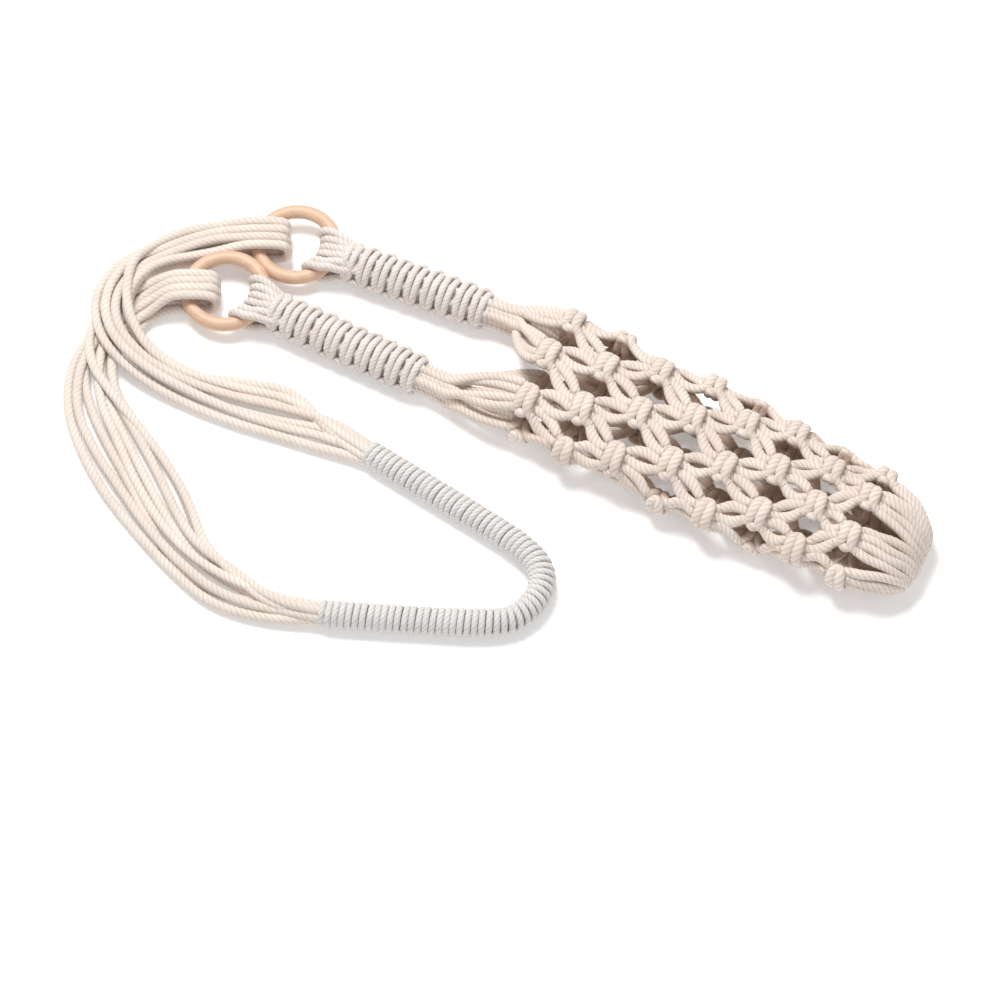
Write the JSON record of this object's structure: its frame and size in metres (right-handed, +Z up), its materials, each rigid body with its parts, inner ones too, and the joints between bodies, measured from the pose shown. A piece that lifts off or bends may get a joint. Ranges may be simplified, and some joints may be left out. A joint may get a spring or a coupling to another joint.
{
  "type": "macrame net hanger",
  "caption": "Knotted cotton cord net pouch on knotted arms with wooden rings, joined by a loose cord strap with a whipped hanging grip.",
  "frame": {"origin": "under the middle of the object, on the surface that it lies on", "axes": "+X along the net from its arms to its gathered end, +Y across the net towards the back arm, +Z up"},
  "size_m": [0.5181, 0.2721, 0.0401],
  "materials": {
    "net_cord": "three-ply twisted cotton cord, matt",
    "arm_cord": "three-ply twisted cotton cord, matt",
    "strap_cord": "three-ply twisted cotton cord, matt, loose",
    "whipping_cord": "twisted cotton cord wound tight",
    "ring_wood": "plain turned beech, satin"
  },
  "bodies": {
    "arms": {"back_arm_core": "arm_cord", "back_arm_sinnet": "arm_cord", "back_ring_loops": "arm_cord", "back_strap_cords_at_ring": "strap_cord", "back_strap_loops": "strap_cord", "front_arm_core": "arm_cord", "front_arm_sinnet": "arm_cord", "front_ring_loops": "arm_cord", "front_strap_cords_at_ring": "strap_cord", "front_strap_loops": "strap_cord"},
    "front_ring": {"front_ring": "ring_wood"},
    "back_ring": {"back_ring": "ring_wood"},
    "net": {"back_fan_cords": "net_cord", "front_fan_cords": "net_cord", "net_cords_1_to_2": "net_cord", "net_cords_2_to_3": "net_cord", "net_cords_3_to_4": "net_cord", "net_cords_4_to_5": "net_cord", "net_cords_5_to_6": "net_cord", "net_cords_6_to_7": "net_cord", "net_cords_7_to_8": "net_cord", "net_end_cords": "net_cord", "net_end_gather": "net_cord", "net_knots_round_1": "net_cord", "net_knots_round_2": "net_cord", "net_knots_round_3": "net_cord", "net_knots_round_4": "net_cord", "net_knots_round_5": "net_cord", "net_knots_round_6": "net_cord", "net_knots_round_7": "net_cord", "net_knots_round_8": "net_cord"},
    "strap": {"back_strap_cords_at_grip": "strap_cord", "front_strap_cords_at_grip": "strap_cord", "grip_core": "strap_cord", "grip_whipping": "whipping_cord"}
  },
  "joints": [
    {"name": "net_lift", "type": "hinge", "parent": "arms", "child": "net", "pos_m": [-0.05709, 0.0778, 0.01263], "axis": [-0.2549, -0.967, 0], "range_deg": [0, 90]},
    {"name": "front_ring_spin", "type": "hinge", "parent": "arms", "child": "front_ring", "pos_m": [-0.20759, 0.05355, 0.01203], "axis": [-0.0037, -0.0871, 0.9962], "continuous": true},
    {"name": "back_ring_spin", "type": "hinge", "parent": "arms", "child": "back_ring", "pos_m": [-0.18469, 0.10265, 0.01133], "axis": [0.0028, -0.0697, 0.9976], "continuous": true},
    {"name": "strap_lift", "type": "hinge", "parent": "arms", "child": "strap", "pos_m": [-0.22909, -0.01745, 0.01603], "axis": [-0.6613, -0.7501, 0], "range_deg": [0, 90]}
  ]
}
